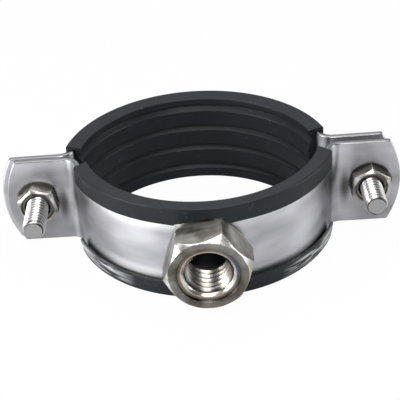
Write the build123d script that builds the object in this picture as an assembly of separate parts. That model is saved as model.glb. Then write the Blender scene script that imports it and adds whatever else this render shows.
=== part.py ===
from build123d import *
import math
import os

# Rubber lined two-screw pipe clamp, in millimetres.
# The pipe runs along Z through the origin, at the middle of the clamp's width.
# The two halves part at the plane y = 0: the front half, with the threaded boss, lies towards -Y.

# Lining: a rubber channel pressed over both edges of each band.
bore_radius = 31.8          # pipe axis to the crests of the inner ribs, on the arc of one half
lining_wall = 1.9           # rib crest to the band
side_wall = 1.2             # rubber over each edge of the band
top_slope = 0.6             # the side faces fall this much from the lips to the bore
lip_thickness = 0.85
lip_reach = 3.85            # how far a lip comes in from the band's edge
lip_flare = 0.9             # how far the free edge of a lower lip stands out
groove_depth = 1.1          # grooves between the inner ribs
groove_width = 2.2          # at the mouth
groove_floor = 0.9          # at the bottom
groove_pitch = 6.6
groove_count = 4
front_lip_setback = 4.2     # the front lips are trimmed back on a slant by this much
lining_fit = 0.05           # rubber to steel, all round the channel

# Band: flat stainless strip, bent to an arc with two flat ears.
band_width = 25.0
band_thickness = 1.5
ear_setback = 5.6           # arc centre to the mating face of the ears
bend_radius = 3.2           # hollow side of the bend between arc and ear
ear_corner_reach = 5.1      # screw axis to the corners of the ear's end
ear_end_bulge = 3.2         # the ear's end is a shallow arc that stands out this far
ear_length = 9.8            # band surface to screw axis

# How the halves lie when the screws are run home.
ear_gap = 1.4               # between the mating faces, at the middle
rear_skew = 1.27            # degrees that the rear half is turned about Z
rear_shift = -1.4           # sideways play of the rear half, taken up in its slots

# Boss: a turned hexagon weld nut, M12.
boss_flats = 20.0
boss_height = 10.0          # band to the boss's face
boss_turn = 19.6            # degrees, a corner from the upright
boss_face_radius = 9.9
boss_chamfer_depth = 2.3    # along the axis, at the corners
boss_step_radius = 7.9
boss_step_depth = 0.5
boss_mouth_radius = 6.7     # countersink at the step
boss_bore_radius = 5.1      # thread crests, M12
boss_collar_radius = 7.0    # pilot collar in the band's hole
collar_fit = 0.05
boss_lip_fit = 0.15         # lips to the boss's flats

# Ear nuts: M6 hexagon weld nuts.
nut_flats = 10.0
nut_height = 3.4            # above the ear
nut_face_radius = 4.45
nut_chamfer_depth = 0.6
nut_step_radius = 4.1
nut_step_depth = 0.25
nut_mouth_radius = 3.45     # countersink at the step
nut_collar_radius = 4.0
left_nut_turn = -12.0       # degrees, a corner from the upright
right_nut_turn = 3.0

# Screws: M6 hexagon head, fully threaded.
screw_radius = 2.95
thread_clearance = 0.05     # screw to the wall of the nut's bore
screw_length = 18.0         # under the head
screw_point_radius = 2.35   # flat end inside the end chamfer
head_flats = 10.0
head_height = 4.0
head_chamfer_depth = 0.5
head_face_step = 0.3        # the head's round face is this much inside its flats
head_seat_fit = 0.02
slot_width = 6.6            # slots in the rear ears
slot_play = 1.4             # the slot's centre runs this far each side of the screw circle

# Worked out from the sizes above.
half_width = band_width / 2
band_inner_radius = bore_radius + lining_wall
band_outer_radius = band_inner_radius + band_thickness
lip_outer_radius = band_outer_radius + lining_fit + lip_thickness
screw_x = band_outer_radius + ear_length
bend_x = math.sqrt((band_outer_radius + bend_radius) ** 2 - (ear_setback + band_thickness + bend_radius) ** 2)
bend_y = -(band_thickness + bend_radius)
arc_centre = Vector(0, ear_setback, 0)
boss_seat_y = ear_setback - band_outer_radius
collar_length = band_thickness - collar_fit
skew = math.radians(rear_skew)

BASE = (Align.CENTER, Align.CENTER, Align.MIN)

front_place = Pos(0, -ear_gap / 2, 0)
rear_place = Pos(rear_shift, ear_gap / 2, 0) * Rot(0, 0, rear_skew + 180)


def on_arc(radius, side):
    """Where the bend runs into the arc, on the side x = side, at this radius from the arc centre."""
    reach = radius / (band_outer_radius + bend_radius)
    return (side * bend_x * reach, ear_setback + (bend_y - ear_setback) * reach)


def bend_middle(radius, side):
    """A point halfway round the bend, at this radius from the bend's centre."""
    start = math.atan2(ear_setback - bend_y, -bend_x)
    middle = (start + math.pi / 2) / 2
    return (side * (bend_x + radius * math.cos(middle)), bend_y + radius * math.sin(middle))


def strip_outline():
    """The bent strip seen along the pipe: mating face at y = 0, arc towards -Y."""
    tip = screw_x + ear_corner_reach + 2 * ear_end_bulge
    hollow = bend_radius
    full = bend_radius + band_thickness
    with BuildSketch() as outline:
        with BuildLine():
            Line((-tip, 0), (-bend_x, 0))
            ThreePointArc((-bend_x, 0), bend_middle(full, -1), on_arc(band_inner_radius, -1))
            ThreePointArc(on_arc(band_inner_radius, -1), (0, ear_setback - band_inner_radius),
                          on_arc(band_inner_radius, 1))
            ThreePointArc(on_arc(band_inner_radius, 1), bend_middle(full, 1), (bend_x, 0))
            Line((bend_x, 0), (tip, 0))
            Line((tip, 0), (tip, -band_thickness))
            Line((tip, -band_thickness), (bend_x, -band_thickness))
            ThreePointArc((bend_x, -band_thickness), bend_middle(hollow, 1), on_arc(band_outer_radius, 1))
            ThreePointArc(on_arc(band_outer_radius, 1), (0, boss_seat_y), on_arc(band_outer_radius, -1))
            ThreePointArc(on_arc(band_outer_radius, -1), bend_middle(hollow, -1), (-bend_x, -band_thickness))
            Line((-bend_x, -band_thickness), (-tip, -band_thickness))
            Line((-tip, -band_thickness), (-tip, 0))
        make_face()
    return outline.sketch


def blank_outline():
    """The strip seen from the front: straight edges, and shallow arcs at both ends."""
    corner = screw_x + ear_corner_reach
    with BuildSketch(Plane.XZ) as outline:
        with BuildLine():
            Line((-corner, half_width), (corner, half_width))
            ThreePointArc((corner, half_width), (corner + ear_end_bulge, 0), (corner, -half_width))
            Line((corner, -half_width), (-corner, -half_width))
            ThreePointArc((-corner, -half_width), (-corner - ear_end_bulge, 0), (-corner, half_width))
        make_face()
    return outline.sketch


def band_blank():
    """One half's band before its holes."""
    strip = extrude(strip_outline(), half_width, both=True)
    blank = extrude(blank_outline(), 2 * band_outer_radius, both=True)
    return strip & blank


def round_hole(radius, x, y):
    """A drill through the strip along Y, where its middle is at this x and y."""
    return Pos(x, y, 0) * Rot(90, 0, 0) * Cylinder(radius, 4 * band_thickness)


def front_band():
    band = band_blank()
    for side in (-1, 1):
        band -= round_hole(nut_collar_radius + collar_fit, side * screw_x, 0)
    return band - round_hole(boss_collar_radius + collar_fit, 0, boss_seat_y)


def rear_band():
    band = band_blank()
    slot = extrude(Plane.XZ * SlotCenterToCenter(2 * slot_play, slot_width), 2 * band_thickness, both=True)
    for side in (-1, 1):
        band -= Pos(side * screw_x, 0, 0) * slot
    return band


def lip_points(side, flare):
    """The lip on the side z = side: along its inside, round its free edge, to the lining's outer corner."""
    inside = band_outer_radius + lining_fit
    edge = side * (half_width - lip_reach)
    return [
        (inside, side * (half_width + lining_fit)),
        (inside + flare, edge),
        (inside + flare + lip_thickness, edge),
        (inside + lip_thickness, side * (half_width + side_wall)),
    ]


def groove_outline():
    """A groove between two ribs: straight sides that narrow to a flat floor."""
    floor_x = bore_radius + groove_depth
    mouth_x = bore_radius - groove_depth
    mouth = groove_width - groove_floor / 2
    return make_face(Polyline((mouth_x, mouth), (mouth_x, -mouth), (floor_x, -groove_floor / 2),
                              (floor_x, groove_floor / 2), close=True))


def lining_section(upper_flare, lower_flare):
    """The channel's cross-section: X is the distance from the arc's axis, Y the height."""
    bore_y = half_width + side_wall - top_slope
    seat = half_width + lining_fit
    floor_x = band_inner_radius - lining_fit
    upper = lip_points(1, upper_flare)
    lower = lip_points(-1, lower_flare)
    outline = [(floor_x, -seat), (floor_x, seat)] + upper
    outline += [(bore_radius, bore_y), (bore_radius, -bore_y)] + lower[::-1]
    section = make_face(Polyline(*outline, close=True))
    return section - GridLocations(0, groove_pitch, 1, groove_count) * groove_outline()


def lining(lip_setback):
    """The channel on one half's arc, with its ends cut from the bend at the bore to the lips' setback."""
    section = Plane.XZ * lining_section(0, lip_flare)
    ring = Pos(arc_centre) * revolve(section, Axis.Z)
    tall = 2 * (half_width + side_wall)
    wide = 2 * lip_outer_radius
    inner_x, inner_y = on_arc(bore_radius, 1)
    outer_x, outer_y = on_arc(lip_outer_radius + lip_flare, 1)
    cut = make_face(Polyline((-inner_x, inner_y), (inner_x, inner_y), (outer_x, outer_y - lip_setback),
                             (wide, outer_y - lip_setback), (wide, wide), (-wide, wide),
                             (-wide, outer_y - lip_setback), (-outer_x, outer_y - lip_setback), close=True))
    return ring - extrude(cut, tall, both=True)


def hexagon(flats, turn):
    """A hexagon across these flats, a corner turned this many degrees clockwise from the upright."""
    return Rot(0, 0, 90 - turn) * RegularPolygon(flats / 2, 6, major_radius=False)


def chamfer_cone(flats, face_radius, chamfer_depth, height):
    """A solid of revolution about Z whose top trims a hexagon's corners down to a round face."""
    corner = flats / math.sqrt(3)
    profile = make_face(Polyline((0, 0), (corner, 0), (corner, height - chamfer_depth),
                                 (face_radius, height), (0, height), close=True))
    return revolve(Plane.XZ * profile, Axis.Z)


def upright_to_front(solid, x, y):
    """Turns a solid built along Z to face -Y, with its base at this x and y."""
    return Pos(x, y, 0) * Rot(90, 0, 0) * solid


def stepped_bore(height, bore_radius, mouth_radius, step_radius, step_depth):
    """What is turned out of a nut: its bore, a 45 degree countersink, and a shallow step in its face."""
    step_z = height - step_depth
    below = -2 * collar_length
    above = 2 * height
    outline = make_face(Polyline((0, below), (bore_radius, below),
                                 (bore_radius, step_z - (mouth_radius - bore_radius)), (mouth_radius, step_z),
                                 (step_radius, step_z), (step_radius, above), (0, above), close=True))
    return revolve(Plane.XZ * outline, Axis.Z)


def boss_nut():
    """Built along Z with its seat at z = 0, and its collar below that."""
    body = extrude(hexagon(boss_flats, boss_turn), boss_height)
    body &= chamfer_cone(boss_flats, boss_face_radius, boss_chamfer_depth, boss_height)
    body += Pos(0, 0, -collar_length) * Cylinder(boss_collar_radius, collar_length, align=BASE)
    return body - stepped_bore(boss_height, boss_bore_radius, boss_mouth_radius, boss_step_radius,
                               boss_step_depth)


def ear_nut(turn):
    """Built along Z with its seat at z = 0, and its collar below that."""
    body = extrude(hexagon(nut_flats, turn), nut_height)
    body &= chamfer_cone(nut_flats, nut_face_radius, nut_chamfer_depth, nut_height)
    body += Pos(0, 0, -collar_length) * Cylinder(nut_collar_radius, collar_length, align=BASE)
    return body - stepped_bore(nut_height, screw_radius + thread_clearance, nut_mouth_radius, nut_step_radius,
                               nut_step_depth)


def screw():
    """Built along Z with the seat of its head at z = 0: the shank points up, the head lies below."""
    head = extrude(hexagon(head_flats, 0), head_height)
    head_face_radius = head_flats / 2 - head_face_step
    head &= chamfer_cone(head_flats, head_face_radius, head_chamfer_depth, head_height)
    point_length = screw_radius - screw_point_radius
    shank = make_face(Polyline((0, -head_height / 2), (screw_radius, -head_height / 2),
                               (screw_radius, screw_length - point_length),
                               (screw_point_radius, screw_length), (0, screw_length), close=True))
    return Rot(180, 0, 0) * head + revolve(Plane.XZ * shank, Axis.Z)


def rear_face_y(x):
    """Where the outer face of the rear ears lies at this x, with the rear half in its place."""
    return ear_gap / 2 + (x - rear_shift) * math.tan(skew) + band_thickness / math.cos(skew)


def head_seat_y(x):
    """The head's seat touches the skewed ear at the head's nearest corner."""
    corner = head_flats / math.sqrt(3)
    return rear_face_y(x + math.copysign(corner, rear_skew)) + head_seat_fit


def front_lining():
    """The lips close up to the flats of the boss."""
    boss_room = extrude(hexagon(boss_flats + 2 * boss_lip_fit, boss_turn), 2 * boss_height)
    return lining(front_lip_setback) - upright_to_front(boss_room, 0, boss_seat_y)


nodes = {
    "front_band": front_place * front_band(),
    "front_lining": front_place * front_lining(),
    "boss_nut": front_place * upright_to_front(boss_nut(), 0, boss_seat_y),
    "rear_band": rear_place * rear_band(),
    "rear_lining": rear_place * lining(0),
}
for name, side, turn in (("left", -1, left_nut_turn), ("right", 1, right_nut_turn)):
    x = side * screw_x
    nodes[name + "_ear_nut"] = front_place * upright_to_front(ear_nut(turn), x, -band_thickness)
    nodes[name + "_screw"] = upright_to_front(screw(), x, head_seat_y(x))

os.makedirs("parts", exist_ok=True)
for name, solid in nodes.items():
    export_step(solid, f"parts/{name}.step")
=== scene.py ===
import math

import bmesh
import bpy
from mathutils import Matrix, Vector, noise


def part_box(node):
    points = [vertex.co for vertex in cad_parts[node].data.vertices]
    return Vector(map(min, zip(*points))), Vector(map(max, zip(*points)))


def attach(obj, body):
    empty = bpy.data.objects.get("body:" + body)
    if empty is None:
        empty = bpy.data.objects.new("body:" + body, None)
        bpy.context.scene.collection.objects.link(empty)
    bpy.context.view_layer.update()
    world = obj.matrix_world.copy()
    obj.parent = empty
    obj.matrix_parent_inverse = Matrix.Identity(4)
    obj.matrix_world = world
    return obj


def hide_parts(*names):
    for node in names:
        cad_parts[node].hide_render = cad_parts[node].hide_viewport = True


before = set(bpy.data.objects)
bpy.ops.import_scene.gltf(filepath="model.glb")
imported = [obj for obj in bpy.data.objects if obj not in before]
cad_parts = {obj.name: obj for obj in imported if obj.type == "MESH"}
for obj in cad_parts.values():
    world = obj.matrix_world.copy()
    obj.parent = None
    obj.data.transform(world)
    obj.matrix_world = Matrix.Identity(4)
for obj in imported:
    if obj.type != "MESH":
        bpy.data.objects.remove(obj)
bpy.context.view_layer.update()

# ---------------------------------------------------------------------------
# Bands: two strips of 1.5 mm stainless steel, slit, blanked and bent to an arc
# with a flat ear at each end. The rolling lines run along the strip, the slit
# edges are rounded, and the holes for the weld nuts and screws are punched.
# ---------------------------------------------------------------------------
MM = 0.001

band_width = 25.0
band_thickness = 1.5
band_outer_radius = 35.2
band_inner_radius = band_outer_radius - band_thickness
band_edge_round = 0.4
ear_setback = 5.6
bend_radius = 3.2
screw_x = 45.0
ear_corner_reach = 5.1
ear_end_bulge = 3.2
nut_hole_radius = 4.05
boss_hole_radius = 7.05
slot_width = 6.6
slot_play = 1.4

bend_x = math.sqrt((band_outer_radius + bend_radius) ** 2
                   - (ear_setback + band_thickness + bend_radius) ** 2)
bend_y = -(band_thickness + bend_radius)
bend_start = math.atan2(bend_y - ear_setback, bend_x)

ear_gap = 1.4
rear_skew = 1.27
rear_shift = -1.4
front_place = Matrix.Translation((0, -ear_gap / 2, 0))
rear_place = (Matrix.Translation((rear_shift, ear_gap / 2, 0))
              @ Matrix.Rotation(math.radians(rear_skew + 180), 4, "Z"))

# The shift also keeps the weld nuts' painted shade off the rear strip.
clear_of_welds = 500.0      # added to the rear strip's coordinates, far from the heat tint

edge_steps = 5
width_rows = 10
ear_steps = 12
bend_steps = 12
arc_steps = 140


def strip_line(part, share, side):
    """A point of the strip's middle line, its outward normal, and its distance along the strip."""
    middle_radius = band_outer_radius - band_thickness / 2
    turn = bend_start + math.pi / 2
    arc_length = middle_radius * turn
    hollow = bend_radius + band_thickness / 2
    if part == "arc":
        angle = -math.pi / 2 + share * turn
        normal = Vector((math.cos(angle), math.sin(angle), 0))
        return Vector((0, ear_setback, 0)) + middle_radius * normal, normal, share * arc_length
    start = math.pi + bend_start
    angle = start + (math.pi / 2 - start) * share
    outward = Vector((side * math.cos(angle), math.sin(angle), 0))
    point = Vector((side * bend_x, bend_y, 0)) + hollow * outward
    return point, -outward, side * (arc_length + hollow * (start - math.pi / 2) * share)


def strip_section(inset):
    """The strip's section as (offset along the normal, height): flat faces and rounded edges."""
    half_thick = band_thickness / 2 - band_edge_round
    half_wide = band_width / 2 - band_edge_round
    radius = band_edge_round - inset
    points = []
    for corner, (a, z) in enumerate(((1, 1), (-1, 1), (-1, -1), (1, -1))):
        for step in range(edge_steps + 1):
            angle = math.pi / 2 * (corner + step / edge_steps)
            points.append((a * half_thick + radius * math.cos(angle),
                           z * half_wide + radius * math.sin(angle)))
        if corner in (1, 3):
            points += [(a * (half_thick + radius), z * half_wide * (1 - 2 * row / width_rows))
                       for row in range(1, width_rows)]
    return points


def ear_end_x(z):
    """How far the ear reaches at this height: its end is a shallow arc."""
    end_radius = ((band_width / 2) ** 2 + ear_end_bulge ** 2) / (2 * ear_end_bulge)
    return screw_x + ear_corner_reach + ear_end_bulge - end_radius + math.sqrt(end_radius ** 2 - z ** 2)


def strip_rings():
    """Rings of points and their strip coordinates, from the tip of one ear to the tip of the other."""
    rings, lengths = [], []

    def ear(side):
        found = []
        _, _, bent = strip_line("bend", 1, 1)
        for step in range(1, ear_steps + 1):
            found.append((step / ear_steps, 0, 0))
        for step in range(1, edge_steps + 1):
            angle = math.pi / 2 * step / edge_steps
            found.append((1, band_edge_round * math.sin(angle), band_edge_round * (1 - math.cos(angle))))
        made = []
        for share, out, inset in found:
            ring, ring_lengths = [], []
            for a, z in strip_section(inset):
                x = bend_x + share * (ear_end_x(z) - band_edge_round - bend_x) + out
                ring.append(Vector((side * x, -band_thickness / 2 - a, z)))
                ring_lengths.append((side * (bent + x - bend_x), z))
            made.append((ring, ring_lengths))
        return made

    def bent_part(part, shares, side):
        made = []
        for share in shares:
            point, normal, length = strip_line(part, share, side)
            ring = [point + a * normal + Vector((0, 0, z)) for a, z in strip_section(0)]
            made.append((ring, [(length, z) for _, z in strip_section(0)]))
        return made

    left = ear(-1)[::-1] + bent_part("bend", [s / bend_steps for s in range(bend_steps, 0, -1)], -1)
    middle = bent_part("arc", [2 * s / arc_steps - 1 for s in range(arc_steps + 1)], 1)
    right = bent_part("bend", [s / bend_steps for s in range(1, bend_steps + 1)], 1) + ear(1)
    for ring, ring_lengths in left + middle + right:
        rings.append(ring)
        lengths.append(ring_lengths)
    return rings, lengths


def skin(rings, finish_map, closed=False, shape=None):
    """A mesh through rings of points, joined end to start or with a face over each end."""
    shape = shape or bmesh.new()
    finish = shape.loops.layers.uv.get("finish") or shape.loops.layers.uv.new("finish")
    rows = [[shape.verts.new(point) for point in ring] for ring in rings]
    count = len(rings[0])
    for i in range(len(rows) if closed else len(rows) - 1):
        after = (i + 1) % len(rows)
        for j in range(count):
            beside = (j + 1) % count
            face = shape.faces.new((rows[i][j], rows[i][beside], rows[after][beside], rows[after][j]))
            face.smooth = True
            for loop, (ring, place) in zip(face.loops, ((i, j), (i, j + 1), (i + 1, j + 1), (i + 1, j))):
                loop[finish].uv = finish_map(ring % len(rows), place)
    if not closed:
        for ring, row in ((0, rows[0]), (len(rows) - 1, rows[-1])):
            face = shape.faces.new(row)
            for place, loop in enumerate(face.loops):
                loop[finish].uv = finish_map(ring, place)
    bmesh.ops.recalc_face_normals(shape, faces=shape.faces)
    return shape


def make_piece(name, shape, place, body, material):
    """A finished mesh, in millimetres, put in its place in the frame."""
    mesh = bpy.data.meshes.new(name)
    shape.to_mesh(mesh)
    shape.free()
    mesh.transform(Matrix.Scale(MM, 4) @ place)
    mesh.materials.append(material)
    piece = bpy.data.objects.new(name, mesh)
    bpy.context.scene.collection.objects.link(piece)
    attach(piece, body)
    return piece


def linear(hex_colour):
    """An sRGB hex colour as linear red, green, blue and alpha."""
    channels = [int(hex_colour[i:i + 2], 16) / 255 for i in (1, 3, 5)]
    return [c / 12.92 if c <= 0.04045 else ((c + 0.055) / 1.055) ** 2.4 for c in channels] + [1.0]


def add_node(tree, kind, inputs=(), **settings):
    """Adds a node with its settings, and sets or links each input."""
    added = tree.nodes.new(kind)
    for name, value in settings.items():
        setattr(added, name, value)
    for socket, value in dict(inputs).items():
        if isinstance(value, bpy.types.NodeSocket):
            tree.links.new(value, added.inputs[socket])
        else:
            added.inputs[socket].default_value = value
    return added


def new_material(name):
    """An empty material: its tree, and the socket that its shader goes into."""
    material = bpy.data.materials.new(name)
    material.use_nodes = True
    material.node_tree.nodes.clear()
    output = add_node(material.node_tree, "ShaderNodeOutputMaterial")
    return material, material.node_tree, output.inputs["Surface"]


# Cold rolled stainless strip with a satin skin: a mid grey metal whose highlights smear across
# its rolling lines, with faint cloudy patches. A painted highlight brightens the arc near its top
# and bottom edges, most of all on the left. Each weld nut has a dark rim, partly heat tint and
# partly painted shade, and a brown haze of heat tint; painted shade darkens each ear between its
# nut and the bend, and the upper slit edge is duller than the faces. The lines are drawn about ten
# times coarser than the real ones, which are too fine to show.
rolled_stainless, tree, surface = new_material("rolled_stainless_strip")
strip_map = add_node(tree, "ShaderNodeUVMap", uv_map="finish").outputs[0]
lines_per_mm = (0.035, 2.6, 1)     # lines 29 mm long and 0.4 mm apart
rolling = add_node(tree, "ShaderNodeMapping", {"Vector": strip_map, "Scale": lines_per_mm}).outputs[0]
rolling_lines = add_node(tree, "ShaderNodeTexNoise", {"Vector": rolling, "Scale": 1, "Detail": 4}).outputs[0]
clouds_per_mm = (0.05, 0.13, 1)    # patches 20 mm long and 8 mm wide
cloud_map = add_node(tree, "ShaderNodeMapping", {"Vector": strip_map, "Scale": clouds_per_mm}).outputs[0]
clouds = add_node(tree, "ShaderNodeTexNoise", {"Vector": cloud_map, "Scale": 1, "Detail": 2}).outputs[0]
cloudy = add_node(tree, "ShaderNodeMapRange", {"Value": clouds, "From Min": 0.35, "From Max": 0.65}).outputs[0]
grey = add_node(tree, "ShaderNodeMix", {0: cloudy, 6: linear("#a6a6ab"), 7: linear("#cacacf")},
                data_type="RGBA").outputs[2]
streaks = add_node(tree, "ShaderNodeMapRange", {"Value": rolling_lines, "From Min": 0.3, "From Max": 0.7,
                                                "To Min": 0.975, "To Max": 1.025}).outputs[0]
streaked = add_node(tree, "ShaderNodeVectorMath", {0: grey, "Scale": streaks}, operation="SCALE").outputs[0]
places = add_node(tree, "ShaderNodeSeparateXYZ", {"Vector": strip_map})
from_middle = add_node(tree, "ShaderNodeMath", {0: places.outputs["X"]}, operation="ABSOLUTE").outputs[0]
from_rim = add_node(tree, "ShaderNodeMath", {0: places.outputs["Y"], 1: clear_of_welds / 2},
                    operation="PINGPONG").outputs[0]
more_left = add_node(tree, "ShaderNodeMapRange", {"Value": places.outputs["X"], "From Min": -4.0,
                                                  "From Max": 4.0, "To Min": 0.9, "To Max": 0.25}).outputs[0]
# painted highlight: the arc is brightened near its top and bottom edges, more on the left
arc_highlight = add_node(tree, "ShaderNodeMapRange", {"Value": from_middle, "From Min": 36.0, "From Max": 43.0,
                                                   "To Min": more_left, "To Max": 0.0}).outputs[0]
painted_highlight = add_node(tree, "ShaderNodeMapRange", {"Value": from_rim, "From Min": 5.0, "From Max": 8.2,
                                               "To Min": 0.0, "To Max": arc_highlight},
                  interpolation_type="SMOOTHSTEP").outputs[0]
highlighted_colour = add_node(tree, "ShaderNodeMix", {0: painted_highlight, 6: streaked, 7: linear("#fafafc")},
                    data_type="RGBA").outputs[2]
folded = add_node(tree, "ShaderNodeCombineXYZ", {"X": from_middle, "Y": places.outputs["Y"]}).outputs[0]
ear_middle = strip_line("bend", 1, 1)[2] + screw_x - bend_x
weld_rise = 0.3
bend_shade_centre = (ear_middle - 6.7, -1.0, 0)
from_weld = add_node(tree, "ShaderNodeVectorMath", {0: folded, 1: (ear_middle, weld_rise, 0)},
                     operation="DISTANCE").outputs["Value"]
ragged = add_node(tree, "ShaderNodeMath", {0: clouds, 1: 3.0, 2: from_weld}, operation="MULTIPLY_ADD").outputs[0]
# dark rim round each weld nut: heat tint together with painted shade beside the nut
heat_tint_and_shade = add_node(tree, "ShaderNodeMapRange", {"Value": ragged, "From Min": 6.9, "From Max": 7.8,
                                             "To Min": 0.92, "To Max": 0.0},
                interpolation_type="SMOOTHSTEP").outputs[0]
# painted shade on each ear between its weld nut and the bend
between = add_node(tree, "ShaderNodeVectorMath", {0: folded, 1: bend_shade_centre}, operation="SUBTRACT").outputs[0]
narrow = add_node(tree, "ShaderNodeVectorMath", {0: between, 1: (0.9, 0.28, 0)}, operation="MULTIPLY").outputs[0]
from_bend = add_node(tree, "ShaderNodeVectorMath", {0: narrow}, operation="LENGTH").outputs["Value"]
painted_bend_shade = add_node(tree, "ShaderNodeMapRange", {"Value": from_bend, "From Min": 0.3, "From Max": 2.3,
                                             "To Min": 0.85, "To Max": 0.0},
                interpolation_type="SMOOTHSTEP").outputs[0]
haze = add_node(tree, "ShaderNodeMapRange", {"Value": from_weld, "From Min": 7.0, "From Max": 12.0,
                                             "To Min": 0.26, "To Max": 0.0},
                interpolation_type="SMOOTHSTEP").outputs[0]
darker = add_node(tree, "ShaderNodeMath", {0: heat_tint_and_shade, 1: painted_bend_shade}, operation="MAXIMUM").outputs[0]
darkest = add_node(tree, "ShaderNodeMath", {0: darker, 1: haze}, operation="MAXIMUM").outputs[0]
strip_tint_and_shade = add_node(tree, "ShaderNodeMix", {0: darkest, 6: highlighted_colour, 7: linear("#2b2722")},
                   data_type="RGBA").outputs[2]
upper = add_node(tree, "ShaderNodeMapRange", {"Value": places.outputs["Y"], "From Min": -1.0, "From Max": 1.0,
                                              "To Min": 0.0, "To Max": 0.75}).outputs[0]
rim = add_node(tree, "ShaderNodeMapRange", {"Value": from_rim, "From Min": 12.15, "From Max": 12.4,
                                            "To Min": 0.0, "To Max": upper}).outputs[0]
dulled = add_node(tree, "ShaderNodeMix", {0: rim, 6: strip_tint_and_shade, 7: linear("#6e6d6c")},
                  data_type="RGBA").outputs[2]
satin = add_node(tree, "ShaderNodeMapRange", {"Value": rolling_lines, "From Min": 0.3, "From Max": 0.7,
                                              "To Min": 0.29, "To Max": 0.34}).outputs[0]
lines = add_node(tree, "ShaderNodeBump", {"Height": rolling_lines, "Distance": 0.00001,
                                          "Strength": 0.06}).outputs[0]
along = add_node(tree, "ShaderNodeTangent", direction_type="UV_MAP", uv_map="finish").outputs[0]
steel = add_node(tree, "ShaderNodeBsdfPrincipled", {
    "Base Color": dulled, "Metallic": 1.0, "Roughness": satin, "Anisotropic": 0.8,
    "Anisotropic Rotation": 0.25, "Tangent": along, "Normal": lines})
tree.links.new(steel.outputs[0], surface)

strip_points, strip_lengths = strip_rings()


def punched(shape, punches):
    """The strip with holes through it, each an outline of (x, z) points swept along y."""
    blank = bpy.data.meshes.new("blank")
    shape.to_mesh(blank)
    shape.free()
    strip = bpy.data.objects.new("blank", blank)
    bpy.context.scene.collection.objects.link(strip)
    cutters = []
    for near, far, outline in punches:
        rings = [[Vector((x, y, z)) for x, z in outline] for y in (near, far)]
        cutter_shape = skin(rings, lambda ring, place: (0, 0))
        mesh = bpy.data.meshes.new("punch")
        cutter_shape.to_mesh(mesh)
        cutter_shape.free()
        cutter = bpy.data.objects.new("punch", mesh)
        bpy.context.scene.collection.objects.link(cutter)
        cut = strip.modifiers.new("punch", "BOOLEAN")
        cut.object = cutter
        cut.operation = "DIFFERENCE"
        cut.solver = "EXACT"
        cutters.append(cutter)
    bpy.context.view_layer.update()
    cut_mesh = bpy.data.meshes.new_from_object(strip.evaluated_get(bpy.context.evaluated_depsgraph_get()))
    made = bmesh.new()
    made.from_mesh(cut_mesh)
    for spare in cutters + [strip]:
        bpy.data.objects.remove(spare)
    return made


def sharpen(shape, angle):
    """Marks the edges that turn by more than this angle as sharp, so that flat faces stay flat."""
    for edge in shape.edges:
        if len(edge.link_faces) == 2 and edge.calc_face_angle(0) > angle:
            edge.smooth = False
    return shape


def weigh_normals(piece):
    """Large faces set the normals, so that they look flat right up to their rounded edges."""
    weighted = piece.modifiers.new("flat faces", "WEIGHTED_NORMAL")
    weighted.keep_sharp = True


round_points = 64
punch_reach = 3.0


def round_outline(x, radius):
    turns = [2 * math.pi * i / round_points for i in range(round_points)]
    return [(x + radius * math.cos(turn), radius * math.sin(turn)) for turn in turns]


def slot_outline(x):
    turns = [2 * math.pi * i / round_points for i in range(round_points)]
    return [(x + math.copysign(slot_play, math.cos(turn)) + slot_width / 2 * math.cos(turn),
             slot_width / 2 * math.sin(turn)) for turn in turns]


boss_seat_y = ear_setback - band_outer_radius
front_punches = [(-band_thickness - punch_reach, punch_reach, round_outline(side * screw_x, nut_hole_radius))
                 for side in (-1, 1)]
front_punches.append((boss_seat_y - punch_reach, boss_seat_y + band_thickness + punch_reach,
                      round_outline(0, boss_hole_radius)))
rear_punches = [(-band_thickness - punch_reach, punch_reach, slot_outline(side * screw_x)) for side in (-1, 1)]

sharp_angle = math.radians(35)


def strip_finish(shift):
    """Lengths along the strip and heights across it, with the heights shifted."""
    def finish_map(ring, place):
        length, height = strip_lengths[ring][place % len(strip_lengths[ring])]
        return length, height + shift
    return finish_map


for half, place, punches, shift in (("front", front_place, front_punches, 0),
                                    ("rear", rear_place, rear_punches, clear_of_welds)):
    blank = skin(strip_points, strip_finish(shift))
    band = make_piece(half + "_band_strip", sharpen(punched(blank, punches), sharp_angle), place,
                      half + "_half", rolled_stainless)
    weigh_normals(band)
    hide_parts(half + "_band")

# ---------------------------------------------------------------------------
# Boss: an M12 hexagon weld nut, turned from bar, whose collar sits in the
# band's hole. Its face has a shallow step, a countersink and the thread, and
# the heat of the weld has tinted the step.
# ---------------------------------------------------------------------------
boss_flats = 20.0
boss_height = 10.0
boss_turn = 19.6
boss_face_radius = 9.9
boss_chamfer_depth = 2.3
boss_step_radius = 7.9
boss_step_depth = 0.5
boss_mouth_radius = 6.7
boss_thread_root = 6.0
boss_thread_crest = 5.1
boss_thread_pitch = 1.75
boss_collar_radius = 7.0
collar_length = 1.45

corner_round = 0.3


def hexagon_angles(turn):
    """Angles round a hexagon, close together where its corners are rounded."""
    offsets = [-0.8, -0.55, -0.3, 0, 0.3, 0.55, 0.8] + [3 * step for step in range(1, 20)]
    return [math.radians(90 - turn + 60 * corner + offset) for corner in range(6) for offset in offsets]


def hexagon_reach(angle, flats, turn):
    """From the axis to a hexagon's side at this angle, with its corners rounded."""
    flat = flats / 2
    from_corner = (math.degrees(angle) - 90 + turn + 30) % 60 - 30
    from_corner = math.radians(abs(from_corner))
    corner_centre = (flat - corner_round) / math.cos(math.pi / 6)
    tangent = math.pi / 6 - math.atan(corner_centre * 0.5 / flat)
    if from_corner > tangent:
        return flat / math.cos(math.pi / 6 - from_corner)
    across = corner_centre * math.sin(from_corner)
    return corner_centre * math.cos(from_corner) + math.sqrt(corner_round ** 2 - across ** 2)


def turned_ring(angles, radius, z):
    return [Vector((radius * math.cos(angle), radius * math.sin(angle), z)) for angle in angles]


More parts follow.
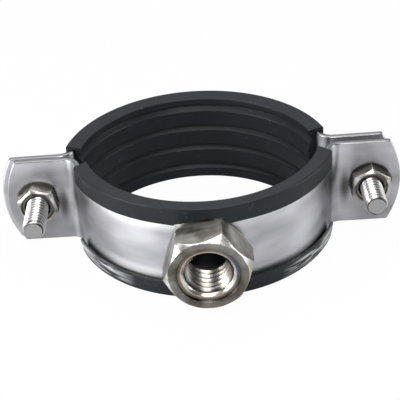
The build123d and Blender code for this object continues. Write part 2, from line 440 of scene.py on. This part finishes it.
def hexagon_rings(angles, flats, turn, face_radius, chamfer_depth, low, high, trimmed_ends):
    """Rings up a hexagon's sides, between ends that are flat or have their corners chamfered."""
    edge = 0.12
    rings = []
    for end, up, trimmed_end in ((low, 1, trimmed_ends[0]), (high, -1, trimmed_ends[1])):
        slope = chamfer_depth / (flats / math.sqrt(3) - face_radius) if trimmed_end else 0
        for inward, along in ((edge, 0), (0.3 * edge, 0.3 * edge), (0, edge))[::up]:
            ring = []
            for a in angles:
                r = hexagon_reach(a, flats, turn)
                trimmed = along + slope * (r - face_radius - (inward if along == 0 else 0))
                ring.append(Vector(((r - inward) * math.cos(a), (r - inward) * math.sin(a),
                                    end + up * max(0, trimmed))))
            rings.append(ring)
    return rings


def helix(shape, root, crest, pitch, low, high, room, root_mark, crest_mark, start=0):
    """A thread's ridge from low to high, closed and tapered at both ends; room limits its crest."""
    steps = 48
    half_foot, half_crest = 0.47, 0.06
    taper_turns = 0.4
    count = int((high - low) / pitch * steps)
    direction = 1 if crest > root else -1
    sunk = root - direction * 0.08
    rings = []
    for step in range(count + 1):
        z = low + pitch * step / steps
        angle = start + 2 * math.pi * step / steps
        fade = min(1, step / (taper_turns * steps), (count - step) / (taper_turns * steps))
        ring = []
        for radius, lift in ((sunk, -half_foot), (crest, -half_crest), (crest, half_crest), (sunk, half_foot)):
            if radius == crest:
                reach = root + (crest - root) * fade
                limit = room(z + lift * pitch)
                radius = min(reach, limit) if direction > 0 else max(reach, limit)
            ring.append(Vector((radius * math.cos(angle), radius * math.sin(angle), z + lift * pitch)))
        rings.append(ring)
    return skin(rings, lambda ring, place: (ring / steps, crest_mark if place % 4 in (1, 2) else root_mark),
                shape=shape)


def nut_rings(angles, flats, turn, height, face_radius, chamfer_depth, step_radius, step_depth,
              mouth_radius, root, collar_radius, back_chamfer):
    """Rings all round a weld nut's profile, from the bottom of its bore out, up and back down the bore."""
    soft = 0.08
    step_z = height - step_depth
    bore_z = step_z - (mouth_radius - root)
    rings = [turned_ring(angles, radius, z) for radius, z in (
        (root, -collar_length), (collar_radius - soft, -collar_length),
        (collar_radius, -collar_length + soft), (collar_radius, 0))]
    rings.append(turned_ring(angles, face_radius, 0))
    rings += hexagon_rings(angles, flats, turn, face_radius, chamfer_depth, 0, height, (back_chamfer, True))
    rings += [turned_ring(angles, radius, z) for radius, z in (
        (face_radius + 0.5 * soft, height - soft), (face_radius - soft, height),
        (step_radius + soft, height), (step_radius, height - soft),
        (step_radius, step_z + 0.5 * soft), (step_radius - 0.5 * soft, step_z),
        (mouth_radius + soft, step_z), (mouth_radius - soft, step_z - soft),
        (root + soft, bore_z + soft), (root, bore_z - soft))]
    return rings


side_mark = 12.4


def turned_map(rings, angles, face_z, flats, turn):
    """Turns round the axis and the distance from it, as the tool ran; the sides have one mark."""
    def finish_map(ring, place):
        place_round = place % len(angles)
        point = rings[ring][place_round]
        reach = math.hypot(point.x, point.y)
        if reach > hexagon_reach(angles[place_round], flats, turn) - 0.01:
            reach = side_mark
        return place / len(angles), reach + 0.1 * (point.z - face_z)
    return finish_map


# Turned steel, dulled by heat: olive grey faces, with tool rings drawn coarser than the real
# ones, which are too fine to show. The step in the boss's face has straw, brown and blue tints
# where the weld's heat was kept in. Chamfers and countersinks are bare steel painted near white,
# with a painted highlight in that colour. Painted shade darkens the ear nuts' bores, the rims of
# their steps and the roots of the thread.
turned_nut_steel, tree, surface = new_material("turned_weld_nut_steel")
nut_map = add_node(tree, "ShaderNodeUVMap", uv_map="finish").outputs[0]
in_frame = add_node(tree, "ShaderNodeTexCoord").outputs["Object"]
stains = add_node(tree, "ShaderNodeTexNoise", {"Vector": in_frame, "Scale": 230, "Detail": 5}).outputs[0]
stained = add_node(tree, "ShaderNodeMapRange", {"Value": stains, "From Min": 0.38, "From Max": 0.62}).outputs[0]
from_axis = add_node(tree, "ShaderNodeSeparateXYZ", {"Vector": nut_map}).outputs["Y"]
stain_reach = 0.9
spread = add_node(tree, "ShaderNodeMath", {0: stains, 1: stain_reach, 2: from_axis},
                  operation="MULTIPLY_ADD").outputs[0]
tint_shade_highlight_span = (-1.55, 12.95)
ramp_place = add_node(tree, "ShaderNodeMapRange", {"Value": spread, "From Min": tint_shade_highlight_span[0],
                                                   "From Max": tint_shade_highlight_span[1]}).outputs[0]
tint_shade_highlight_ramp = add_node(tree, "ShaderNodeValToRGB", {0: ramp_place})
tint_shade_highlight_stops = (
    # the thread, from its crest to its root, darkening towards the root as painted shade
    (-1.1, "#dcdad6"), (-0.5, "#a3a09a"), (0.0, "#1f1d1b"),
    # the ear nuts: bore and rim of the step darkened as painted shade, step, face, and chamfer painted near
    # white with a painted highlight
    (3.2, "#2c2a27"), (3.5, "#96938d"), (3.85, "#96938d"), (4.05, "#2b2926"), (4.25, "#8f8c86"),
    (4.4, "#96938d"), (4.6, "#e8e6e2"), (5.1, "#e2e0dc"),
    # the boss: bore, countersink painted near white with a painted highlight, tinted step and its rim, face, and
    # chamfer painted near white with a painted highlight
    (5.8, "#c4c2bd"), (6.1, "#f0eeea"), (6.75, "#d8d2c8"), (7.05, "#8d8072"), (7.5, "#7a6f66"),
    (7.75, "#4c4844"), (8.0, "#6f6d69"), (8.9, "#85837d"), (9.75, "#8c8a84"), (9.95, "#f4f3f1"),
    (11.0, "#f4f3f1"),
    # the sides of all three
    (11.3, "#aaa8a2"), (12.4, "#a3a19b"))
while len(tint_shade_highlight_ramp.color_ramp.elements) < len(tint_shade_highlight_stops):
    tint_shade_highlight_ramp.color_ramp.elements.new(1.0)
for stop, (at, colour) in zip(tint_shade_highlight_ramp.color_ramp.elements, tint_shade_highlight_stops):
    stop.position = (at + stain_reach / 2 - tint_shade_highlight_span[0]) / (tint_shade_highlight_span[1] - tint_shade_highlight_span[0])
    stop.color = linear(colour)
blue_turn, blue_radius = 0.86, 7.2
turn_round = add_node(tree, "ShaderNodeSeparateXYZ", {"Vector": nut_map}).outputs["X"]
past_blue = add_node(tree, "ShaderNodeMath", {0: turn_round, 1: blue_turn}, operation="SUBTRACT").outputs[0]
off_side = add_node(tree, "ShaderNodeMath", {0: past_blue}, operation="ABSOLUTE").outputs[0]
on_side = add_node(tree, "ShaderNodeMapRange", {"Value": off_side, "From Min": 0.05, "From Max": 0.13,
                                                "To Min": 0.8, "To Max": 0.0}).outputs[0]
outside_blue = add_node(tree, "ShaderNodeMath", {0: from_axis, 1: blue_radius}, operation="SUBTRACT").outputs[0]
off_step = add_node(tree, "ShaderNodeMath", {0: outside_blue}, operation="ABSOLUTE").outputs[0]
on_step = add_node(tree, "ShaderNodeMapRange", {"Value": off_step, "From Min": 0.2, "From Max": 0.6,
                                                "To Min": 1.0, "To Max": 0.0}).outputs[0]
blued = add_node(tree, "ShaderNodeMath", {0: on_side, 1: on_step}, operation="MULTIPLY").outputs[0]
tinted_shaded_highlit = add_node(tree, "ShaderNodeMix", {0: blued, 6: tint_shade_highlight_ramp.outputs[0], 7: linear("#4a5a78")},
                  data_type="RGBA").outputs[2]
dull = add_node(tree, "ShaderNodeMix", {0: stained, 6: linear("#b5b1aa"), 7: linear("#ffffff")},
                data_type="RGBA").outputs[2]
coloured = add_node(tree, "ShaderNodeMix", {0: 1.0, 6: tinted_shaded_highlit, 7: dull}, data_type="RGBA",
                    blend_type="MULTIPLY").outputs[2]
rings_map = add_node(tree, "ShaderNodeMapping", {"Vector": nut_map, "Scale": (3, 4, 1)}).outputs[0]
tool_rings = add_node(tree, "ShaderNodeTexNoise", {"Vector": rings_map, "Scale": 1, "Detail": 3}).outputs[0]
worn = add_node(tree, "ShaderNodeMapRange", {"Value": tool_rings, "From Min": 0.3, "From Max": 0.7,
                                             "To Min": 0.22, "To Max": 0.42}).outputs[0]
marks = add_node(tree, "ShaderNodeBump", {"Height": tool_rings, "Distance": 0.00004, "Strength": 0.5}).outputs[0]
round_axis = add_node(tree, "ShaderNodeTangent", direction_type="UV_MAP", uv_map="finish").outputs[0]
turned = add_node(tree, "ShaderNodeBsdfPrincipled", {
    "Base Color": coloured, "Metallic": 1.0, "Roughness": worn, "Anisotropic": 0.4,
    "Anisotropic Rotation": 0.25, "Tangent": round_axis, "Normal": marks})
tree.links.new(turned.outputs[0], surface)

to_front = Matrix.Rotation(math.pi / 2, 4, "X")
boss_angles = hexagon_angles(boss_turn)
boss_rings = nut_rings(boss_angles, boss_flats, boss_turn, boss_height, boss_face_radius, boss_chamfer_depth,
                       boss_step_radius, boss_step_depth, boss_mouth_radius, boss_thread_root,
                       boss_collar_radius, True)
boss_map = turned_map(boss_rings, boss_angles, boss_height, boss_flats, boss_turn)
boss_shape = skin(boss_rings, boss_map, closed=True)
boss_mouth_z = boss_height - boss_step_depth
helix(boss_shape, boss_thread_root, boss_thread_crest, boss_thread_pitch,
      -collar_length + boss_thread_pitch / 2, boss_mouth_z - boss_thread_pitch / 4,
      lambda z: boss_mouth_radius + z - boss_mouth_z, 0, -1)
boss = make_piece("boss_weld_nut", sharpen(boss_shape, sharp_angle),
                  front_place @ Matrix.Translation((0, boss_seat_y, 0)) @ to_front,
                  "front_half", turned_nut_steel)
weigh_normals(boss)
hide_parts("boss_nut")

# ---------------------------------------------------------------------------
# Ear nuts: M6 hexagon weld nuts, one on the front of each front ear, made as
# the boss is, with a collar in the ear's hole. Each is turned as it was welded.
# ---------------------------------------------------------------------------
nut_flats = 10.0
nut_height = 3.4
nut_face_radius = 4.45
nut_chamfer_depth = 0.6
nut_step_radius = 4.1
nut_step_depth = 0.25
nut_mouth_radius = 3.45
nut_thread_root = 3.1
nut_collar_radius = 4.0
nut_turns = {"left": -12.0, "right": 3.0}

for name, side in (("left", -1), ("right", 1)):
    angles = hexagon_angles(nut_turns[name])
    rings = nut_rings(angles, nut_flats, nut_turns[name], nut_height, nut_face_radius, nut_chamfer_depth,
                      nut_step_radius, nut_step_depth, nut_mouth_radius, nut_thread_root,
                      nut_collar_radius, False)
    shape = skin(rings, turned_map(rings, angles, nut_height, nut_flats, nut_turns[name]), closed=True)
    nut = make_piece(name + "_weld_nut", sharpen(shape, sharp_angle),
                     front_place @ Matrix.Translation((side * screw_x, -band_thickness, 0)) @ to_front,
                     "front_half", turned_nut_steel)
    weigh_normals(nut)
    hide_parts(name + "_ear_nut")

# ---------------------------------------------------------------------------
# Linings: extruded rubber channels, cut to length and pressed over both edges
# of each band, with four grooves round the bore. The front one's lips are cut
# to fit round the boss, whose corners push them off the steel.
# ---------------------------------------------------------------------------
bore_radius = 31.8
side_wall = 1.2
top_slope = 0.6
lining_fit = 0.05
lip_thickness = 0.85
lip_reach = 3.85
lip_flare = 0.8
groove_mouth = 1.1
grooves = ((10.3, 1.1, 0.1, 1.3), (3.7, 0.9, 0.25, 1.0), (-2.8, 0.85, 0.3, 1.0), (-9.2, 0.85, 0.3, 1.0))
lip_setbacks = {"front": 4.2, "rear": 0.0}
end_trims = {"front": (1.25, 0.05), "rear": (0.05, -1.0)}
boss_lip_fit = 0.2
lip_bulges = ((4.0, 0.75, 3.0), (-7.5, 0.35, 2.5))
widest_flare = 0.9
corner_steps = 3
lining_steps = 240


def rounded(corners):
    """An outline with its corners rounded; corners are (x, y, radius)."""
    outline = []
    for i, (x, y, radius) in enumerate(corners):
        corner = Vector((x, y))
        before = Vector(corners[i - 1][:2]) - corner
        after = Vector(corners[(i + 1) % len(corners)][:2]) - corner
        half = before.angle(after) / 2
        tangent = min(radius / math.tan(half), 0.45 * before.length, 0.45 * after.length)
        radius = tangent * math.tan(half)
        before, after = before.normalized(), after.normalized()
        centre = corner + (before + after).normalized() * radius / math.sin(half)
        first, last = corner + tangent * before - centre, corner + tangent * after - centre
        for step in range(corner_steps + 1):
            spoke = first.lerp(last, step / corner_steps)
            outline.append(centre + spoke.normalized() * radius)
    return outline


def over_boss(x):
    """How high the boss and the lip's gap reach at this x."""
    reach = boss_flats / 2 + boss_lip_fit
    heights = []
    for side in range(3):
        normal = math.radians(60 - boss_turn + 60 * side)
        heights.append((reach - x * math.cos(normal)) / math.sin(normal))
    return min(heights)


def lining_section(half, x):
    """The channel's section at this x, as (distance from the arc's axis, height)."""
    lip = band_outer_radius + lining_fit
    seat = band_width / 2 + lining_fit
    floor = band_inner_radius - lining_fit
    top = band_width / 2 + side_wall
    free = band_width / 2 - lip_reach
    drift = Vector((0.12 * x, 7.1 if half == "front" else 2.3, 0))
    upper_free = free + 0.12 * noise.noise(drift)
    lower_free = free + 0.12 * noise.noise(drift + Vector((0, 0, 5)))
    upper_flare = 0.05 + 0.05 * noise.noise(drift + Vector((0, 0, 9)))
    lower_flare = lip_flare + 0.08 * noise.noise(drift + Vector((0, 0, 13)))
    if half == "front":
        upper_free = max(upper_free, over_boss(x))
        lower_free = max(lower_free, over_boss(-x))
        for place, out, width in lip_bulges:
            upper_flare += out * math.exp(-((x - place) / width) ** 2)
    corners = [(floor, -seat, 0.15), (floor, seat, 0.15), (lip, seat, 0.15),
               (lip + upper_flare, upper_free, 0.2), (lip + upper_flare + lip_thickness, upper_free, 0.35),
               (lip + lip_thickness, top, 0.5), (bore_radius, top - top_slope, 0.4)]
    for height, depth, floor_drop, shoulder_drop in grooves:
        corners += [(bore_radius, height + groove_mouth, 0.3),
                    (bore_radius + depth, height + groove_mouth / 2, 0.2),
                    (bore_radius + depth, height - floor_drop, 0.25), (bore_radius, height - shoulder_drop, 0.6)]
    corners += [(bore_radius, top_slope - top, 0.4), (lip + lip_thickness, -top, 0.5),
                (lip + lower_flare + lip_thickness, -lower_free, 0.35), (lip + lower_flare, -lower_free, 0.2),
                (lip, -seat, 0.15)]
    return rounded(corners)


def end_angle(half, side, radius):
    """How far round, from the middle, the cut across the lining's end meets this radius."""
    trim = end_trims[half][side]
    widest = band_outer_radius + lining_fit + lip_thickness + widest_flare
    near = Vector((bend_x, bend_y - ear_setback)) * bore_radius / (band_outer_radius + bend_radius)
    far = Vector((bend_x, bend_y - ear_setback)) * widest / (band_outer_radius + bend_radius)
    near.y -= trim
    far.y -= trim + lip_setbacks[half]
    along = far - near
    mixed = near.dot(along)
    squared = along.dot(along)
    share = (-mixed + math.sqrt(mixed ** 2 - squared * (near.dot(near) - radius ** 2))) / squared
    met = near + share * along
    return math.atan2(met.x, -met.y)


def lining_rings(half):
    """Sections of a lining, from the cut across its left end to the cut across its right end."""
    rings = []
    for step in range(lining_steps + 1):
        share = 2 * step / lining_steps - 1
        side = 1 if share > 0 else 0
        middle_angle = share * end_angle(half, side, band_outer_radius)
        ring = []
        for radius, z in lining_section(half, band_outer_radius * math.sin(middle_angle)):
            angle = share * end_angle(half, side, radius)
            ring.append(Vector((radius * math.sin(angle), ear_setback - radius * math.cos(angle), z)))
        rings.append(ring)
    return rings


# Black EPDM rubber, extruded: near black and matt, with a skin that shines a little where the
# light grazes it. It has blooms about 11 mm across and small pale scuffs of handling about 1.5 mm
# across. A pale mottled painted reflection lies on the outer face of the front lining's lower lip
# near its ends.
lining_rubber, tree, surface = new_material("extruded_epdm_rubber")
skin_place = add_node(tree, "ShaderNodeTexCoord").outputs["Object"]
bloom = add_node(tree, "ShaderNodeTexNoise", {"Vector": skin_place, "Scale": 90, "Detail": 5}).outputs[0]
scuffs = add_node(tree, "ShaderNodeTexNoise", {"Vector": skin_place, "Scale": 700, "Detail": 6,
                                               "Roughness": 0.7}).outputs[0]
scuffed = add_node(tree, "ShaderNodeMapRange", {"Value": scuffs, "From Min": 0.62, "From Max": 0.72,
                                                "To Min": 0.0, "To Max": 0.12}).outputs[0]
black = add_node(tree, "ShaderNodeMix", {0: bloom, 6: linear("#101216"), 7: linear("#202227")},
                 data_type="RGBA").outputs[2]
where = add_node(tree, "ShaderNodeSeparateXYZ", {"Vector": skin_place})
aside = add_node(tree, "ShaderNodeMath", {0: where.outputs["X"]}, operation="ABSOLUTE").outputs[0]
at_end = add_node(tree, "ShaderNodeMapRange", {"Value": aside, "From Min": 19 * MM,
                                               "From Max": 26 * MM}).outputs[0]
low = add_node(tree, "ShaderNodeMapRange", {"Value": where.outputs["Z"], "From Min": -9.5 * MM,
                                            "From Max": -8.5 * MM, "To Min": 1.0, "To Max": 0.0}).outputs[0]
front_axis = (0, (ear_setback - ear_gap / 2) * MM, 0)
lip_face = (band_outer_radius + lining_fit + lip_thickness) * MM
outward = add_node(tree, "ShaderNodeVectorMath", {0: skin_place, 1: front_axis}, operation="SUBTRACT").outputs[0]
flattened = add_node(tree, "ShaderNodeVectorMath", {0: outward, 1: (1, 1, 0)}, operation="MULTIPLY").outputs[0]
off_axis = add_node(tree, "ShaderNodeVectorMath", {0: flattened}, operation="LENGTH").outputs["Value"]
outside = add_node(tree, "ShaderNodeMapRange", {"Value": off_axis, "From Min": lip_face,
                                                "From Max": lip_face + 0.3 * MM}).outputs[0]
lip_map = add_node(tree, "ShaderNodeMapping", {"Vector": skin_place, "Scale": (130, 130, 1300)}).outputs[0]
lip_reflection_noise = add_node(tree, "ShaderNodeTexNoise", {"Vector": lip_map, "Scale": 1, "Detail": 4}).outputs[0]
lip_reflection_mottle = add_node(tree, "ShaderNodeMapRange", {"Value": lip_reflection_noise, "From Min": 0.45, "From Max": 0.55,
                                                "To Min": 0.0, "To Max": outside}).outputs[0]
low_end = add_node(tree, "ShaderNodeMath", {0: at_end, 1: low}, operation="MULTIPLY").outputs[0]
# painted reflection: pale mottling on the outer face of the front lining's lower lip near its ends
painted_lip_reflection = add_node(tree, "ShaderNodeMath", {0: low_end, 1: lip_reflection_mottle}, operation="MULTIPLY").outputs[0]
pale = add_node(tree, "ShaderNodeMath", {0: painted_lip_reflection, 1: scuffed}, operation="MAXIMUM").outputs[0]
skin_colour = add_node(tree, "ShaderNodeMix", {0: pale, 6: black, 7: linear("#b4b6b9")},
                       data_type="RGBA").outputs[2]
rubber = add_node(tree, "ShaderNodeBsdfPrincipled", {"Base Color": skin_colour, "Roughness": 0.42,
                                                     "Specular IOR Level": 0.24})
tree.links.new(rubber.outputs[0], surface)

for half, place in (("front", front_place), ("rear", rear_place)):
    rings = lining_rings(half)
    lining = make_piece(half + "_rubber_channel",
                        sharpen(skin(rings, lambda ring, place: (ring * 0.4, place * 0.5)), sharp_angle),
                        place, half + "_half", lining_rubber)
    weigh_normals(lining)
    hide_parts(half + "_lining")

# ---------------------------------------------------------------------------
# Screws: M6 hexagon head set screws, rolled thread to the head and a turned
# point, put through the rear ears' slots and run into the ear nuts. The real
# pitch of 1 mm is too fine to show, so the thread is drawn a quarter coarser.
# ---------------------------------------------------------------------------
screw_radius = 2.95
screw_root = 2.4
screw_pitch = 1.25
screw_length = 18.0
screw_point_radius = 2.35
head_flats = 10.0
head_height = 4.0
head_face_radius = 4.7
head_chamfer_depth = 0.5
screw_edge_round = 0.08

# Bright plated steel: white crests, roots darkened as painted shade, and a grey sheared
# end, by how far each point is from the axis.
plated_steel, tree, surface = new_material("bright_plated_steel")
screw_map = add_node(tree, "ShaderNodeUVMap", uv_map="finish").outputs[0]
from_axis = add_node(tree, "ShaderNodeSeparateXYZ", {"Vector": screw_map}).outputs["Y"]
ramp_place = add_node(tree, "ShaderNodeMapRange", {"Value": from_axis, "From Min": 2.0,
                                                   "From Max": 3.0}).outputs[0]
depth = add_node(tree, "ShaderNodeValToRGB", {0: ramp_place})
# painted shade: darkest about the thread's root, 2.4 to 2.5 mm from the axis
depth_stops = ((0.28, "#a0a0a0"), (0.34, "#6b6762"), (0.5, "#38342f"), (0.72, "#aeaca9"), (0.9, "#dededf"))
while len(depth.color_ramp.elements) < len(depth_stops):
    depth.color_ramp.elements.new(1.0)
for stop, (at, colour) in zip(depth.color_ramp.elements, depth_stops):
    stop.position = at
    stop.color = linear(colour)
bright = add_node(tree, "ShaderNodeBsdfPrincipled", {"Base Color": depth.outputs[0], "Metallic": 1.0,
                                                     "Roughness": 0.3})
tree.links.new(bright.outputs[0], surface)



def within_point(z):
    """How far the thread may reach from the axis at this depth, inside the screw's 45 degree point."""
    point_z = screw_length - screw_radius + screw_point_radius
    return max(screw_root - 0.05, screw_radius - max(0, z - point_z))


for name, side, start in (("left", -1, 0.6), ("right", 1, 2.4)):
    angles = hexagon_angles(0)
    rings = [turned_ring(angles, head_face_radius - screw_edge_round, -head_height)]
    rings += hexagon_rings(angles, head_flats, 0, head_face_radius, head_chamfer_depth, -head_height, 0,
                           (True, False))
    rings.append(turned_ring(angles, head_face_radius - screw_edge_round, 0))
    cone_root = screw_length - (screw_root - screw_point_radius)
    rings += [turned_ring(angles, radius, z) for radius, z in (
        (screw_root + 0.3, 0), (screw_root, 0.3), (screw_root, cone_root),
        (screw_point_radius, screw_length - 0.02), (screw_point_radius - screw_edge_round, screw_length))]
    shape = skin(rings, lambda ring, place: (place / len(angles), rings[ring][place % len(angles)].xy.length))
    helix(shape, screw_root, screw_radius, screw_pitch, 1.0, screw_length - 0.3, within_point,
          screw_root, screw_radius, start)
    seat_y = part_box(name + "_screw")[1][1] / MM - head_height
    screw = make_piece(name + "_set_screw", sharpen(shape, sharp_angle),
                       Matrix.Translation((side * screw_x, seat_y, 0)) @ to_front,
                       name + "_screw", plated_steel)
    weigh_normals(screw)
    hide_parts(name + "_screw")

# ---------------------------------------------------------------------------
# Studio: a sheet of white paper under the clamp, walls that are brighter behind
# it, and four soft lamps, with the camera a little above and in front.
# ---------------------------------------------------------------------------
scene = bpy.context.scene
scene.view_settings.view_transform = "Standard"
picture_width = 400
focal_pixels = 1060.2
sensor = 36.0
camera_distance = 0.28982
camera_pitch = 0.5778
camera_roll = -0.0648
camera_yaw = -0.01
aim_right = 0.0010515
aim_up = 0.0035422
lens = bpy.data.cameras.new("camera")
lens.sensor_width = sensor
lens.lens = sensor * focal_pixels / picture_width
lens.clip_start = 0.01
camera = bpy.data.objects.new("camera", lens)
scene.collection.objects.link(camera)
aim = (Matrix.Rotation(-camera_yaw, 4, "Z") @ Matrix.Rotation(math.pi / 2 - camera_pitch, 4, "X")
       @ Matrix.Rotation(camera_roll, 4, "Z"))
camera.matrix_world = aim @ Matrix.Translation((-aim_right, -aim_up, camera_distance))
scene.camera = camera

floor_z = -0.01376
floor_mesh = bpy.data.meshes.new("floor")
floor_shape = bmesh.new()
bmesh.ops.create_grid(floor_shape, x_segments=1, y_segments=1, size=3.0)
floor_shape.to_mesh(floor_mesh)
floor_shape.free()
floor = bpy.data.objects.new("floor", floor_mesh)
floor.location = (0, 0, floor_z)
scene.collection.objects.link(floor)
paper, tree, surface = new_material("white_paper")
path = add_node(tree, "ShaderNodeLightPath")
glowing = add_node(tree, "ShaderNodeMath", {0: path.outputs["Is Camera Ray"], 1: 0.97}, operation="MULTIPLY")
matt = add_node(tree, "ShaderNodeBsdfDiffuse", {"Color": linear("#c4c4c4")})
glow = add_node(tree, "ShaderNodeEmission", {"Color": (1, 1, 1, 1), "Strength": 1.0})
mixed = add_node(tree, "ShaderNodeMixShader", {0: glowing.outputs[0], 1: matt.outputs[0], 2: glow.outputs[0]})
tree.links.new(mixed.outputs[0], surface)
floor_mesh.materials.append(paper)

world = bpy.data.worlds.new("studio")
scene.world = world
world.use_nodes = True
tree = world.node_tree
tree.nodes.clear()
out = add_node(tree, "ShaderNodeOutputWorld")
path = add_node(tree, "ShaderNodeLightPath")
looking = add_node(tree, "ShaderNodeTexCoord")
toward = add_node(tree, "ShaderNodeSeparateXYZ", {"Vector": looking.outputs["Generated"]})
level = add_node(tree, "ShaderNodeMapRange", {"Value": toward.outputs["Y"], "From Min": -0.5, "From Max": 0.7,
                                              "To Min": 0.08, "To Max": 0.75})
walls = add_node(tree, "ShaderNodeBackground", {"Color": linear("#f0f1f4"), "Strength": level.outputs[0]})
white = add_node(tree, "ShaderNodeBackground", {"Color": (1, 1, 1, 1), "Strength": 1.0})
mixed = add_node(tree, "ShaderNodeMixShader", {0: path.outputs["Is Camera Ray"], 1: walls.outputs[0],
                                               2: white.outputs[0]})
tree.links.new(mixed.outputs[0], out.inputs[0])


def lamp(name, place, size, watts):
    light = bpy.data.lights.new(name, "AREA")
    light.shape = "RECTANGLE"
    light.size, light.size_y = size
    light.energy = watts
    thing = bpy.data.objects.new(name, light)
    scene.collection.objects.link(thing)
    thing.location = place
    thing.rotation_euler = (-Vector(place)).to_track_quat("-Z", "Y").to_euler()


lamp("overhead", (-0.05, 0.0, 0.45), (0.7, 0.6), 2.9)
lamp("left", (-0.45, -0.25, 0.10), (0.4, 0.2), 2.8)
lamp("front", (0.03, -0.34, 0.26), (0.16, 0.14), 0.8)
lamp("right", (0.42, -0.05, 0.12), (0.2, 0.2), 0.8)
